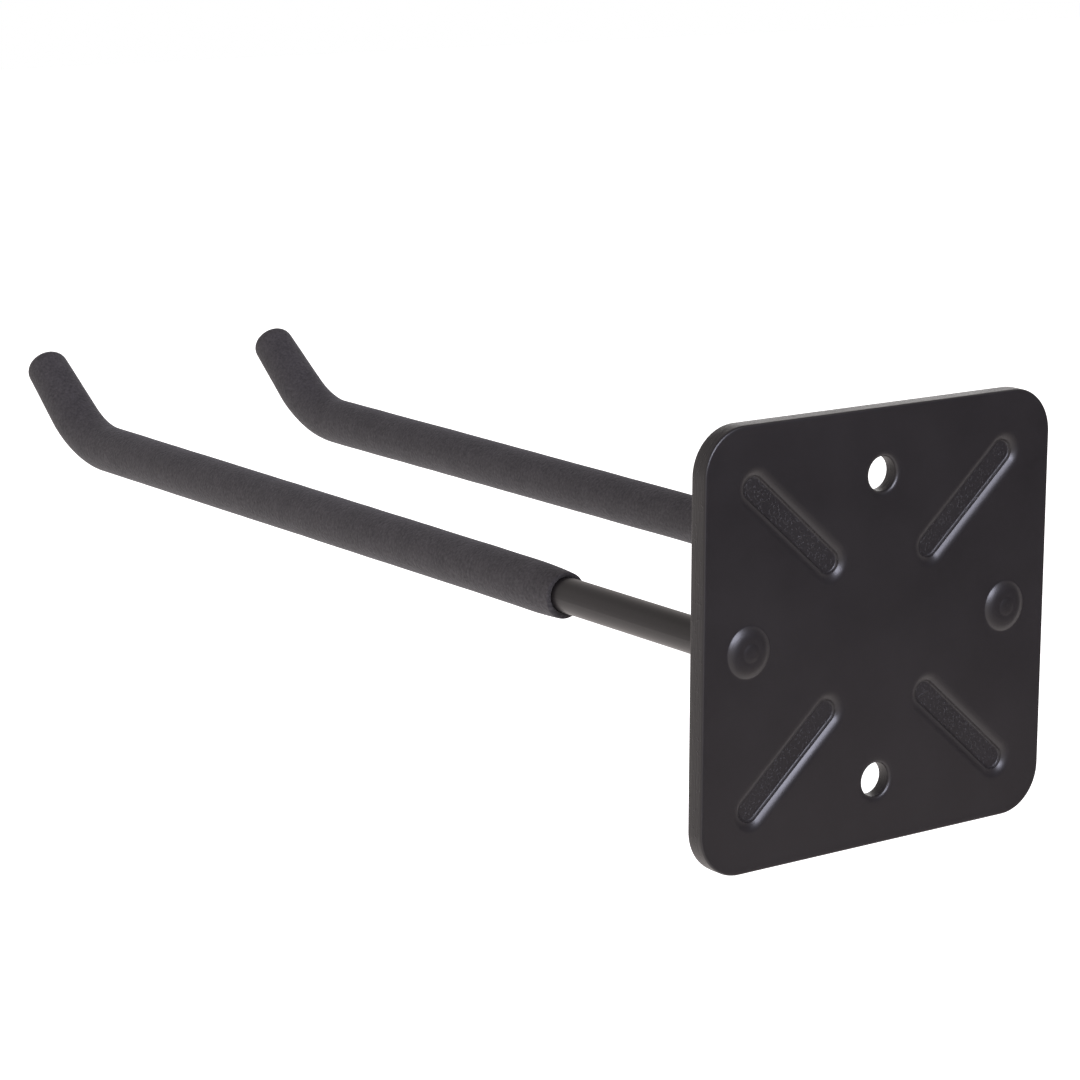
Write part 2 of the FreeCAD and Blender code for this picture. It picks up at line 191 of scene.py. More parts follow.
# ---------------------------------------------------------------------------------------------
# Finishes
# ---------------------------------------------------------------------------------------------
@dataclass(frozen=True)
class PowderCoat:
    """Black polyester powder, sprayed on steel and baked: satin, with a faint orange peel.

    Where the steel under it was sheared or pressed the film follows a coarser ground, so that cut edges
    show strokes along the shear and nibs, and the bottoms of the ribs sparkle in small points. The peel is
    as wide as on real powder; the nibs are drawn about twice as wide, so that they show.
    """

    name: str
    colour: str = "151314"
    light_colour: str = "1a1718"
    roughness: float = 0.36
    roughness_spread: float = 0.03
    patch_mm: float = 24.0
    patch_range: tuple[float, float] = (0.3, 0.7)
    peel_mm: float = 1.8
    peel_depth_mm: float = 0.006
    dust_mm: float = 0.5
    dust_depth_mm: float = 0.002
    nib_mm: float = 0.9
    nib_height_mm: float = 0.0
    nib_start: float = 0.56
    nib_ramp: float = 0.1
    stroke_mm: float = 0.6
    stroke_stretch: float = 0.12
    stroke_depth_mm: float = 0.0

    def material(self) -> bpy.types.Material:
        """Build the node material.

        Returns:
            The coat, with the nibs and strokes only where they have a height.
        """
        material, tree, surface = new_material(self.name)
        place = object_place(tree)
        patches = add_node(tree, "TexNoise", {
            "Vector": place, "Scale": per_metre(self.patch_mm), "Detail": 3.0})
        peel = add_node(tree, "TexNoise", {
            "Vector": place, "Scale": per_metre(self.peel_mm), "Detail": 2.0})
        dust = add_node(tree, "TexNoise", {
            "Vector": place, "Scale": per_metre(self.dust_mm), "Detail": 1.0})
        colour = add_node(tree, "Mix", {
            "Factor": patches.outputs["Fac"], "A": linear(self.colour),
            "B": linear(self.light_colour)}, data_type="RGBA")
        rough = add_node(tree, "MapRange", {
            0: patches.outputs["Fac"], 1: self.patch_range[0], 2: self.patch_range[1],
            3: self.roughness - self.roughness_spread, 4: self.roughness + self.roughness_spread})
        film = add_node(tree, "Bump", {
            "Height": peel.outputs["Fac"], "Distance": self.peel_depth_mm * MM})
        last = add_node(tree, "Bump", {
            "Height": dust.outputs["Fac"], "Distance": self.dust_depth_mm * MM,
            "Normal": film.outputs[0]})
        if self.nib_height_mm:
            grains = add_node(tree, "TexNoise", {
                "Vector": place, "Scale": per_metre(self.nib_mm), "Detail": 2.0})
            nibs = add_node(tree, "MapRange", {
                0: grains.outputs["Fac"], 1: self.nib_start, 2: self.nib_start + self.nib_ramp},
                interpolation_type="SMOOTHSTEP")
            last = add_node(tree, "Bump", {
                "Height": nibs.outputs[0], "Distance": self.nib_height_mm * MM,
                "Normal": last.outputs[0]})
        if self.stroke_depth_mm:
            drawn = add_node(tree, "Mapping", {
                "Vector": place, "Scale": (self.stroke_stretch, 1.0, self.stroke_stretch)})
            strokes = add_node(tree, "TexNoise", {
                "Vector": drawn.outputs[0], "Scale": per_metre(self.stroke_mm), "Detail": 3.0})
            last = add_node(tree, "Bump", {
                "Height": strokes.outputs["Fac"], "Distance": self.stroke_depth_mm * MM,
                "Normal": last.outputs[0]})
        shader = add_node(tree, "BsdfPrincipled", {
            "Base Color": colour.outputs["Result"], "Roughness": rough.outputs[0],
            "Normal": last.outputs[0]})
        tree.links.new(shader.outputs[0], surface)
        return material


@dataclass(frozen=True)
class FoamRubber:
    """Black closed-cell nitrile foam with its moulded skin: dull, finely pebbled, paler at a grazing look.

    The cells are drawn about twice as wide as real ones, so that they show.
    """

    name: str
    colour: str = "2d2b2c"
    light_colour: str = "454243"
    roughness: float = 0.85
    specular: float = 0.2
    cell_mm: float = 0.9
    cell_depth_mm: float = 0.2
    cell_roughness: float = 0.65
    pore_ratio: float = 1.3
    pore_strength: float = 0.5
    mottle_mm: float = 9.0
    mottle_share: float = 0.3
    mottle_range: tuple[float, float] = (0.42, 0.88)
    sheen: float = 0.10
    sheen_roughness: float = 0.4

    def material(self) -> bpy.types.Material:
        """Build the node material.

        Returns:
            The foam, pebbled by its cells and mottled by cells and broad patches together.
        """
        material, tree, surface = new_material(self.name)
        place = object_place(tree)
        cells = add_node(tree, "TexNoise", {
            "Vector": place, "Scale": per_metre(self.cell_mm), "Detail": 3.0,
            "Roughness": self.cell_roughness})
        pores = add_node(tree, "TexVoronoi", {
            "Vector": place, "Scale": per_metre(self.cell_mm * self.pore_ratio)})
        mottle = add_node(tree, "TexNoise", {
            "Vector": place, "Scale": per_metre(self.mottle_mm), "Detail": 4.0})
        blend = add_node(tree, "Math", {
            0: mottle.outputs["Fac"], 1: self.mottle_share, 2: cells.outputs["Fac"]},
            operation="MULTIPLY_ADD")
        share = add_node(tree, "MapRange", {
            0: blend.outputs[0], 1: self.mottle_range[0], 2: self.mottle_range[1]})
        colour = add_node(tree, "Mix", {
            "Factor": share.outputs[0], "A": linear(self.colour),
            "B": linear(self.light_colour)}, data_type="RGBA")
        pebble = add_node(tree, "Bump", {
            "Height": cells.outputs["Fac"], "Distance": self.cell_depth_mm * MM})
        pitted = add_node(tree, "Bump", {
            "Height": pores.outputs["Distance"], "Strength": self.pore_strength,
            "Distance": self.cell_depth_mm * MM, "Normal": pebble.outputs[0]})
        shader = add_node(tree, "BsdfPrincipled", {
            "Base Color": colour.outputs["Result"], "Roughness": self.roughness,
            "Normal": pitted.outputs[0], "Specular IOR Level": self.specular,
            "Sheen Weight": self.sheen, "Sheen Roughness": self.sheen_roughness})
        tree.links.new(shader.outputs[0], surface)
        return material


@dataclass(frozen=True)
class LightTable:
    """White acrylic sheet lit from below: even and pale, so that nothing round the rack draws the eye."""

    name: str = "white_acrylic_light_table"
    colour: str = "f4f4f4"
    roughness: float = 0.9
    haze_mm: float = 2.0
    haze_depth_mm: float = 0.01
    glow: float = 1.1

    def material(self) -> bpy.types.Material:
        """Build the node material.

        Returns:
            The glowing sheet with its fine haze.
        """
        material, tree, surface = new_material(self.name)
        haze = add_node(tree, "TexNoise", {
            "Vector": object_place(tree), "Scale": per_metre(self.haze_mm)})
        lift = add_node(tree, "Bump", {
            "Height": haze.outputs["Fac"], "Distance": self.haze_depth_mm * MM})
        shader = add_node(tree, "BsdfPrincipled", {
            "Base Color": linear(self.colour), "Roughness": self.roughness, "Normal": lift.outputs[0],
            "Emission Color": linear("ffffff"), "Emission Strength": self.glow})
        tree.links.new(shader.outputs[0], surface)
        return material


# ---------------------------------------------------------------------------------------------
# Sub-assemblies
# ---------------------------------------------------------------------------------------------
class Side(Enum):
    """Which of the two arms a piece belongs to, with the sign of its X."""

    LEFT = 1
    RIGHT = -1

    @property
    def word(self) -> str:
        """The side's word in node names."""
        return self.name.lower()


Flat = tuple[float, float]
Step = tuple[float, float]

# Steps across the plate's features: offset outward from the outline, then height, in millimetres.
# These heights are measured from the wall face.
FRONT_RIM_BEAD: list[Step] = [
    (-3.2, 0), (-2.6, 0), (-2.0, 0.006), (-1.5, 0.022), (-1.1, 0.034), (-0.85, 0.03), (-0.6, 0.0)]
HOLE_ROLL: list[Step] = [
    (3.0, 0), (2.4, 0), (1.7, -0.015), (1.15, -0.06), (0.75, -0.14), (0.42, -0.28), (0.2, -0.46),
    (0.06, -0.68)]
HOLE_WALL: list[Step] = [(0.0, -0.9), (0.0, -2.6)]
RIB_SHOULDER: list[Step] = [
    (2.9, 0), (2.45, -0.012), (2.05, -0.06), (1.65, -0.15), (1.25, -0.28), (0.9, -0.43), (0.6, -0.58),
    (0.3, -0.75), (0.04, -0.92), (0.0, -0.95)]
RIB_WALL: list[Step] = [
    (-0.03, -1.04), (-0.18, -1.25), (-0.33, -1.44), (-0.45, -1.57), (-0.56, -1.63), (-0.72, -1.66)]
RIB_FLOOR: list[Step] = [(-1.0 - 0.33 * n, -1.66) for n in range(8)]
BOSS: list[Step] = [
    (0.9, 0), (0.3, 0), (0.05, 0.02), (-0.1, 0.10), (-0.4, 0.30), (-0.9, 0.56), (-1.5, 0.80), (-2.1, 0.98),
    (-2.8, 1.10), (-3.5, 1.15), (-4.1, 1.14), (-4.4, 1.15), (-4.7, 1.22), (-5.1, 1.31), (-5.6, 1.37),
    (-6.2, 1.4), (-6.6, 1.4)]
EDGE_WALL: list[Step] = [(0.0, -1.6), (0.03, -3.0)]
# These heights are measured from the arm side, where a height above zero lies inside the steel.
EDGE_WALL_FOOT: list[Step] = [(0.0, 1.6), (-0.05, 0.9)]
EDGE_LAND: list[Step] = [(-1.6, 0.0), (-2.4, 0.0)]
HOLE_WALL_FOOT: list[Step] = [(0.0, 1.8)]
HOLE_SINK: list[Step] = [(0.06, 1.7), (1.75, 0.03), (1.9, 0.0)]
HOLE_LAND: list[Step] = [(2.5, 0.0), (3.1, 0.0)]
CREST: list[Step] = [
    (1.8, 0), (1.2, 0), (0.6, -0.04), (0.2, -0.16), (-0.05, -0.4), (-0.25, -0.7), (-0.55, -0.92),
    (-0.95, -1.0), (-1.6, -1.0), (-2.6, -1.0), (-3.5, -1.0)]
SEAT_LAND: list[Step] = [(0.6, 0.0), (0.0, 0.0)]


@dataclass(frozen=True)
class Outline:
    """A closed outline on the plate: a stadium about the line from start to end.

    A circle is a stadium whose start and end are one point. Its two halves then leave out their last
    point, which would double the first point of the other half.
    """

    start: Flat
    end: Flat
    half_width: float
    points: int

    def loop(self, offset: float) -> list[Flat]:
        """The outline moved outward by an offset, always with the same number of points.

        Args:
            offset: distance outward from the outline, in metres; negative moves inward.

        Returns:
            Points across and up, anticlockwise.
        """
        reach = self.half_width + offset
        run = Vector(self.end) - Vector(self.start)
        heading = math.atan2(run.y, run.x)
        half = self.points // 2
        gaps = half - 1 if run.length else half
        loop = []
        for middle, first in ((self.end, heading - math.pi / 2), (self.start, heading + math.pi / 2)):
            for n in range(half):
                turn = first + math.pi * n / gaps
                loop.append((middle[0] + reach * math.cos(turn), middle[1] + reach * math.sin(turn)))
        return loop

    def holds(self, spot: Flat, offset: float) -> bool:
        """Test a spot against the outline moved outward by an offset.

        Args:
            spot: the spot, across and up.
            offset: distance outward from the outline, in metres.

        Returns:
            True when the spot lies inside.
        """
        run = Vector(self.end) - Vector(self.start)
        away = Vector(spot) - Vector(self.start)
        share = min(max(away.dot(run) / run.length_squared, 0.0), 1.0) if run.length else 0.0
        return (away - run * share).length < self.half_width + offset


@dataclass(frozen=True)
class Rim:
    """The plate's own outline: a square with round corners."""

    half_side: float
    corner: float
    corner_points: int = 20
    side_points: int = 24

    def loop(self, offset: float) -> list[Flat]:
        """The rim moved outward by an offset, always with the same number of points.

        Args:
            offset: distance outward from the rim, in metres; negative moves inward.

        Returns:
            Points across and up, anticlockwise from the right-hand end of the top right corner.
        """
        flat = self.half_side - self.corner
        reach = self.corner + offset
        loop = []
        for quarter in range(4):
            first = quarter * math.pi / 2
            middle = Matrix.Rotation(first, 2) @ Vector((flat, flat))
            for n in range(self.corner_points):
                turn = first + math.pi / 2 * n / (self.corner_points - 1)
                loop.append((middle.x + reach * math.cos(turn), middle.y + reach * math.sin(turn)))
            last = Vector(loop[-1])
            along = Vector((math.cos(first + math.pi), math.sin(first + math.pi)))
            for n in range(1, self.side_points):
                spot = last + along * (2 * flat * n / self.side_points)
                loop.append((spot.x, spot.y))
        return loop


class Ground(Enum):
    """Which coat a face of the plate wears, by its material number."""

    FACE = 0
    CUT = 1
    PRESSED = 2


@dataclass
class WallPlate:
    """The pressed steel plate: rolled rim, punched and countersunk holes, ribs, bosses and bar seats.

    Heights run along +Y from the wall face, so the steel lies between 0 and minus its thickness. Fields
    that end in _mm are in millimetres, as the step tables are.
    """

    half_side: float = 60 * MM
    thickness: float = 6 * MM
    corner: float = 13 * MM
    front_round_mm: float = 0.6
    front_round_steps: int = 8
    back_round_mm: float = 0.9
    back_round_steps: int = 6
    back_lean_mm: float = 0.05
    hole: float = 4.7 * MM
    hole_up: float = 42 * MM
    hole_points: int = 64
    rib_inner: Flat = (17.6 * MM, 20.4 * MM)
    rib_outer: Flat = (43.3 * MM, 43.1 * MM)
    rib_half: float = 3.4 * MM
    rib_points: int = 56
    crest_half: float = 3.8 * MM
    boss: float = 7.0 * MM
    arm_across: float = ARM_ACROSS
    seat: float = 5.0 * MM
    seat_depth: float = 2.0 * MM
    circle_points: int = 72
    mesh_pitch: float = 4 * MM
    mesh_gap: float = 1.5 * MM
    points: list[Vector] = field(default_factory=list)
    faces: list[tuple[int, ...]] = field(default_factory=list)
    grounds: list[Ground] = field(default_factory=list)

    def ring(self, loop: Sequence[Flat], height: float) -> list[int]:
        """Add a loop of vertices at one height.

        Args:
            loop: points across and up.
            height: their height, in metres.

        Returns:
            The new vertices' numbers.
        """
        first = len(self.points)
        self.points.extend(Vector((across, height, up)) for across, up in loop)
        return list(range(first, len(self.points)))

    def add_face(self, corners: Sequence[int], ground: Ground) -> None:
        """Add one face and the coat it wears."""
        self.faces.append(tuple(corners))
        self.grounds.append(ground)

    def terrace(self, shape: Union[Outline, Rim], steps: Sequence[Step], ground: Ground,
                first: Optional[list[int]] = None) -> list[int]:
        """Join a row of loops into a smooth step in the plate.

        Args:
            shape: the outline that the loops follow.
            steps: pairs of offset from the outline and height, in millimetres.
            ground: the coat that the step wears.
            first: numbers of a loop that already stands, which the first step is joined to.

        Returns:
            Numbers of the last loop.
        """
        before = first
        for offset, height in steps:
            here = self.ring(shape.loop(offset * MM), height * MM)
            if before is not None:
                for n in range(len(here)):
                    beside = (n + 1) % len(here)
                    self.add_face((before[n], before[beside], here[beside], here[n]), ground)
            before = here
        return before or []

    def from_flat(self, shape: Union[Outline, Rim], steps: Sequence[Step], ground: Ground,
                  bounds: list[list[int]]) -> list[int]:
        """Start a step at the flat steel, whose bounds gain its first loop.

        Args:
            shape: the outline that the loops follow.
            steps: pairs of offset from the outline and height, in millimetres.
            ground: the coat that the step wears.
            bounds: the loops that bound the flat so far.

        Returns:
            Numbers of the last loop.
        """
        first = len(self.points)
        last = self.terrace(shape, steps, ground)
        bounds.append(list(range(first, first + len(last))))
        return last

    def cap(self, ring: list[int], ground: Ground) -> None:
        """Close a loop with a fan about its middle.

        Args:
            ring: the loop's vertex numbers.
            ground: the coat that the fan wears.
        """
        middle = sum((self.points[n] for n in ring), Vector()) / len(ring)
        self.points.append(middle)
        for n, corner in enumerate(ring):
            self.add_face((corner, ring[(n + 1) % len(ring)], len(self.points) - 1), ground)

    def grid(self, taken: Callable[[Flat], bool]) -> list[Flat]:
        """Spots of an even grid on the flat steel, clear of everything that is taken.

        Args:
            taken: tells whether a spot lies inside a feature.

        Returns:
            Spots across and up.
        """
        gaps = (-self.mesh_gap, 0, self.mesh_gap)
        count = round((self.half_side - self.corner / 2) / self.mesh_pitch)
        spots = []
        for column in range(-count, count + 1):
            for row in range(-count, count + 1):
                across = column * self.mesh_pitch
                up = row * self.mesh_pitch
                if not any(taken((across + dx, up + dz)) for dx in gaps for dz in gaps):
                    spots.append((across, up))
        return spots

    def sheet(self, rings: list[list[int]], height: float, taken: Callable[[Flat], bool]) -> None:
        """Fill the flat steel between loops with even triangles.

        Args:
            rings: loops of vertex numbers that bound the flat, the outer one first.
            height: the flat's height, in metres.
            taken: tells whether a spot lies inside one of the inner loops.
        """
        numbers = [n for ring in rings for n in ring]
        flat = [(self.points[n].x, self.points[n].z) for n in numbers]
        edges = []
        base = 0
        for ring in rings:
            edges.extend((base + n, base + (n + 1) % len(ring)) for n in range(len(ring)))
            base += len(ring)
        spots = self.grid(taken)
        numbers += self.ring(spots, height)
        flat += spots
        result = delaunay_2d_cdt([Vector(spot) for spot in flat], edges, [], 1, MERGE_REACH)
        triangles, origins = result[2], result[3]
        for triangle in triangles:
            corners = [numbers[origins[n][0]] for n in triangle]
            middle = sum((self.points[n] for n in corners), Vector()) / 3
            if not taken((middle.x, middle.z)):
                self.add_face(corners, Ground.FACE)

    def rib_shapes(self, half: float) -> list[Outline]:
        """The four ribs' outlines, at one half width."""
        return [Outline((sx * self.rib_inner[0], sz * self.rib_inner[1]),
                        (sx * self.rib_outer[0], sz * self.rib_outer[1]), half, self.rib_points)
                for sx in (1, -1) for sz in (1, -1)]

    def circles(self, across: float, up: float, radius: float, points: int) -> list[Outline]:
        """Two circles that face each other across the plate's middle."""
        return [Outline((sign * across, sign * up), (sign * across, sign * up), radius, points)
                for sign in (1, -1)]

    def holes(self) -> list[Outline]:
        """The two screw holes' outlines."""
        return self.circles(0, self.hole_up, self.hole, self.hole_points)

    def seats(self, radius: float) -> list[Outline]:
        """Circles round the two arms' middle lines."""
        return self.circles(self.arm_across, 0, radius, self.circle_points)

    def from_back(self, steps: Sequence[Step]) -> list[Step]:
        """Steps given from the arm side, as heights from the wall face."""
        return [(offset, height - self.thickness / MM) for offset, height in steps]

    def roll_rim(self, front: list[list[int]], back: list[list[int]]) -> None:
        """Build the plate's outer edge from its wall face to its arm side.

        Args:
            front: loops that bound the wall face.
            back: loops that bound the arm side.
        """
        rim = Rim(self.half_side, self.corner)
        bead = self.from_flat(rim, FRONT_RIM_BEAD, Ground.FACE, front)
        turn_out = [(self.front_round_mm * (math.sin(turn) - 1), self.front_round_mm * (math.cos(turn) - 1))
                    for turn in quarter_turns(self.front_round_steps)]
        edge = self.terrace(rim, turn_out, Ground.FACE, bead)
        lean = self.back_round_mm - self.back_lean_mm
        turn_in = [(lean * math.cos(turn) - self.back_round_mm, self.back_round_mm * (1 - math.sin(turn)))
                   for turn in quarter_turns(self.back_round_steps)]
        wall = EDGE_WALL + self.from_back(EDGE_WALL_FOOT + turn_in)
        shell = self.terrace(rim, wall, Ground.CUT, edge)
        back.append(self.terrace(rim, self.from_back(EDGE_LAND), Ground.FACE, shell))

    def punch_holes(self, front: list[list[int]], back: list[list[int]]) -> None:
        """Build the walls of the screw holes, with a rolled lip in front and a sink behind.

        Args:
            front: loops that bound the wall face.
            back: loops that bound the arm side.
        """
        for shape in self.holes():
            lip = self.from_flat(shape, HOLE_ROLL, Ground.FACE, front)
            bore = self.terrace(shape, HOLE_WALL + self.from_back(HOLE_WALL_FOOT), Ground.CUT, lip)
            sunk = self.terrace(shape, self.from_back(HOLE_SINK), Ground.CUT, bore)
            back.append(self.terrace(shape, self.from_back(HOLE_LAND), Ground.FACE, sunk))

    def press_ribs(self, front: list[list[int]], back: list[list[int]]) -> None:
        """Build the ribs' troughs in the wall face and their crests on the arm side.

        Args:
            front: loops that bound the wall face.
            back: loops that bound the arm side.
        """
        for shape in self.rib_shapes(self.rib_half):
            shoulder = self.from_flat(shape, RIB_SHOULDER, Ground.FACE, front)
            floor = self.terrace(shape, RIB_WALL + RIB_FLOOR, Ground.PRESSED, shoulder)
            self.cap(floor, Ground.PRESSED)
        for shape in self.rib_shapes(self.crest_half):
            self.cap(self.from_flat(shape, self.from_back(CREST), Ground.FACE, back), Ground.FACE)

    def form_arm_places(self, front: list[list[int]], back: list[list[int]]) -> None:
        """Build the bosses on the wall face and the bars' seats behind them.

        Args:
            front: loops that bound the wall face.
            back: loops that bound the arm side.
        """
        for shape in self.seats(self.boss):
            self.cap(self.from_flat(shape, BOSS, Ground.FACE, front), Ground.FACE)
        seat_steps = self.from_back(SEAT_LAND + [(0.0, self.seat_depth / MM)])
        for shape in self.seats(self.seat):
            self.cap(self.from_flat(shape, seat_steps, Ground.FACE, back), Ground.FACE)

    def build(self) -> bpy.types.Object:
        """Build the whole plate.

        Returns:
            The plate, which replaces its CAD solid.
        """
        front: list[list[int]] = []
        back: list[list[int]] = []
        self.roll_rim(front, back)
        self.punch_holes(front, back)
        self.press_ribs(front, back)
        self.form_arm_places(front, back)
        front_taken = self.taken(self.rib_half, RIB_SHOULDER[0], self.boss, BOSS[0], HOLE_ROLL[0])
        back_taken = self.taken(self.crest_half, CREST[0], self.seat, SEAT_LAND[0], HOLE_LAND[-1])
        self.sheet(front, 0.0, front_taken)
        self.sheet(back, -self.thickness, back_taken)
        return self.finish()

    def taken(self, rib: float, rib_step: Step, arm: float, arm_step: Step,
              hole_step: Step) -> Callable[[Flat], bool]:
        """Make the test for spots that a rib, an arm's circle or a screw hole takes from one face.

        Args:
            rib: half width of the ribs on this face.
            rib_step: a rib's outermost step.
            arm: radius of the arms' circles on this face.
            arm_step: the outermost step of those circles.
            hole_step: the outermost step of the screw holes.

        Returns:
            A function that is true for a spot inside one of them.
        """
        shapes = [(shape, rib_step[0]) for shape in self.rib_shapes(rib)]
        shapes += [(shape, arm_step[0]) for shape in self.seats(arm)]
        shapes += [(shape, hole_step[0]) for shape in self.holes()]
        return lambda spot: any(shape.holds(spot, more * MM) for shape, more in shapes)

    def finish(self) -> bpy.types.Object:
        """Turn the gathered faces into the dressed plate.

        Returns:
            The plate, with its three coats in the order of Ground.
        """
        coats = (
            PowderCoat("black_powder_coated_plate_face"),
            PowderCoat("black_powder_coated_sheared_edge", roughness=0.42, stroke_depth_mm=0.10,
                       nib_mm=1.1, nib_height_mm=0.06, nib_start=0.6),
            PowderCoat("black_powder_coated_pressed_rib", roughness=0.40, nib_mm=0.75, nib_height_mm=0.07),
        )
        face, cut, pressed = [coat.material() for coat in coats]
        plate = mesh_piece("pressed_wall_plate", self.points, self.faces, face)
        plate.data.materials.append(cut)
        plate.data.materials.append(pressed)
        plate.data.polygons.foreach_set("material_index", [ground.value for ground in self.grounds])
        close_and_turn(plate)
        plate.data.set_sharp_from_angle(angle=SHARP_TURN)
        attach(plate, BODY)
        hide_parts("wall_plate")
        return plate


@dataclass
class ArmLine:
    """The middle line of an arm: level out from the wall, an upward bend and a straight tip."""

    across: float
    reach: float = 338 * MM
    bend: float = 43 * MM
    angle: float = math.radians(36.5)

    def at(self, along: float) -> tuple[Vector, Vector]:
        """A point of the line and the direction square to it.

        Args:
            along: distance from the wall face, measured along the line, in metres.

        Returns:
            The point and the unit normal in the arm's own upright plane.
        """
        turn = min(max((along - self.reach) / self.bend, 0.0), self.angle)
        level = min(along, self.reach)
        rest = max(along - self.reach - self.bend * self.angle, 0.0)
        out = level + self.bend * math.sin(turn) + rest * math.cos(turn)
        up = self.bend * (1 - math.cos(turn)) + rest * math.sin(turn)
        return Vector((self.across, -out, up)), Vector((0, math.sin(turn), math.cos(turn)))

    def length_to(self, tip: float) -> float:
        """Length along the line to a point this far past the bend."""
        return self.reach + self.bend * self.angle + tip


@dataclass
class SteelArm:
    """A round steel bar; its CAD shape stays and gets its coat."""

    side: Side

    def dress(self) -> bpy.types.Object:
        """Give the CAD bar its powder coat.

        Returns:
            The bar.
        """
        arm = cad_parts[self.side.word + "_arm"]
        coat = PowderCoat(self.side.word + "_black_powder_coated_round_bar", roughness=0.34, peel_mm=2.2)
        arm.data.materials.clear()
        arm.data.materials.append(coat.material())
        return arm


@dataclass
class FoamSleeve:
    """A foam sleeve round a bar, with a thick open mouth and a closed, rounded end."""

    side: Side
    radius: float = 7.1 * MM
    far_radius: float = 7.68 * MM
    bore: float = 5.0 * MM
    mouth: float = 80.3 * MM
    end_past_bend: float = 26.0 * MM
    end_radius: float = 6.85 * MM
    taper_length: float = 27 * MM
    end_round: float = 4.2 * MM
    end_crown: float = 0.5 * MM
    end_wall: float = 4.0 * MM
    mouth_round: float = 0.2 * MM
    mouth_flare: float = 0.3 * MM
    mouth_edge: float = 0.15 * MM
    mouth_shrink: float = 0.5 * MM
    shrink_length: float = 14 * MM
    mouth_sag: float = 0.32 * MM
    sag_length: float = 45 * MM
    wobble: float = 0.07 * MM
    wobble_length: float = 11 * MM
    even_within: float = 5.5 * MM
    around: int = 96
    step: float = 1.0 * MM
    bore_step: float = 3.0 * MM
    round_steps: int = 8
    crown_steps: int = 6

    def skin(self, along: float, start: float, last: float) -> float:
        """The sleeve's outer radius: drawn in at the mouth, swelling along the bar, tapered at the tip.

        Args:
            along: distance along the arm's line.
            start: where the outer skin begins.
            last: where the sleeve ends.

        Returns:
            The radius there, in metres.
        """
        near = max(0.0, 1 - (along - self.mouth) / self.shrink_length)
        swell = (along - start) / (last - self.taper_length - start)
        taper = max(0.0, 1 - (last - along) / self.taper_length)
        full = self.radius + (self.far_radius - self.radius) * min(swell, 1.0)
        full -= (self.far_radius - self.end_radius) * taper
        return full - self.mouth_shrink * near * near

    def profile(self, last: float) -> list[tuple[float, float]]:
        """The sleeve's half section: along the bore to the mouth, then along the skin to the closed end.

        Args:
            last: distance along the arm's line to the sleeve's far end.

        Returns:
            Pairs of distance along the line and radius.
        """
        lip = self.radius - self.mouth_shrink
        bore_start = self.mouth + self.mouth_flare
        bore_end = last - self.end_wall
        rings = round((bore_end - bore_start) / self.bore_step)
        points = [(bore_end + (bore_start - bore_end) * n / rings, self.bore) for n in range(rings + 1)]
        points.append((self.mouth, self.bore + self.mouth_edge))
        for turn in [0.0] + quarter_turns(self.round_steps):
            points.append((self.mouth + self.mouth_round * (1 - math.cos(turn)),
                           lip - self.mouth_round * (1 - math.sin(turn))))
        start = self.mouth + self.mouth_round
        stop = last - self.end_round - self.end_crown
        count = round((stop - start) / self.step)
        for n in range(1, count + 1):
            along = start + (stop - start) * n / count
            points.append((along, self.skin(along, start, last)))
        full = points[-1][1]
        for turn in quarter_turns(self.round_steps):
            points.append((stop + self.end_round * math.sin(turn),
                           full - self.end_round * (1 - math.cos(turn))))
        for n in range(1, self.crown_steps):
            share = 1 - n / self.crown_steps
            points.append((last - self.end_crown * share * share, (full - self.end_round) * share))
        return points

    def build(self, line: ArmLine, material: bpy.types.Material) -> bpy.types.Object:
        """Sweep the profile along the arm with a slight unevenness of the foam's skin.

        Args:
            line: the arm's middle line.
            material: the foam.

        Returns:
            The sleeve, which replaces its CAD solid.
        """
        last = line.length_to(self.end_past_bend)
        profile = self.profile(last)
        sideways = Vector((1, 0, 0))
        points = []
        for along, radius in profile:
            centre, normal = line.at(along)
            for step in range(self.around):
                angle = 2 * math.pi * step / self.around
                outward = normal * math.cos(angle) + sideways * math.sin(angle)
                spot = centre + outward * radius
                if radius > self.even_within:
                    spot += outward * (self.wobble * noise.noise(spot / self.wobble_length))
                    near = max(0.0, 1 - (along - self.mouth) / self.sag_length)
                    spot.z -= self.mouth_sag * near * near
                points.append(spot)
        faces = ring_faces(len(profile), self.around)
        for ring, along in ((0, last - self.end_wall), (len(profile) - 1, last)):
            points.append(line.at(along)[0])
            for step in range(self.around):
                beside = (step + 1) % self.around
                faces.append((ring * self.around + step, ring * self.around + beside, len(points) - 1))
        sleeve = mesh_piece(self.side.word + "_foam_grip", points, faces, material)
        close_and_turn(sleeve)
        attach(sleeve, BODY)
        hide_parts(self.side.word + "_foam_sleeve")
        return sleeve


